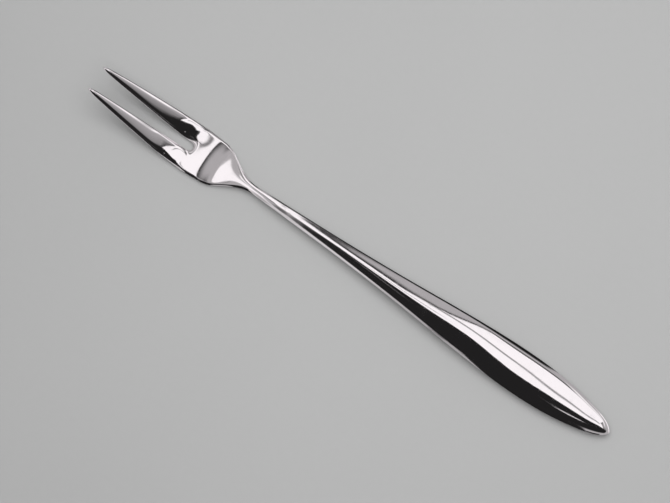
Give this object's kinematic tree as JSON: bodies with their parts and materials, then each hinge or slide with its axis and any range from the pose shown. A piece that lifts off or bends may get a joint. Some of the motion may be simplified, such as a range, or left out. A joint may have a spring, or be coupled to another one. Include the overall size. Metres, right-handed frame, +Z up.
{
  "type": "meat fork",
  "caption": "Slender two-tined serving fork for meat: bright polished steel, dished head, thin neck and a crowned leaf-shaped handle.",
  "frame": {"origin": "middle of the fork's length and width, at the level of the surface that it lies on", "axes": "+X along the fork towards the point of the handle (tines at -X), +Y across, +Z up out of the hollow face"},
  "size_m": [0.215, 0.0172, 0.0111],
  "materials": {
    "polished_steel": "mirror polished stainless steel with fine wiping marks"
  },
  "bodies": {
    "root": {"fork_forging": "polished_steel"}
  },
  "joints": []
}
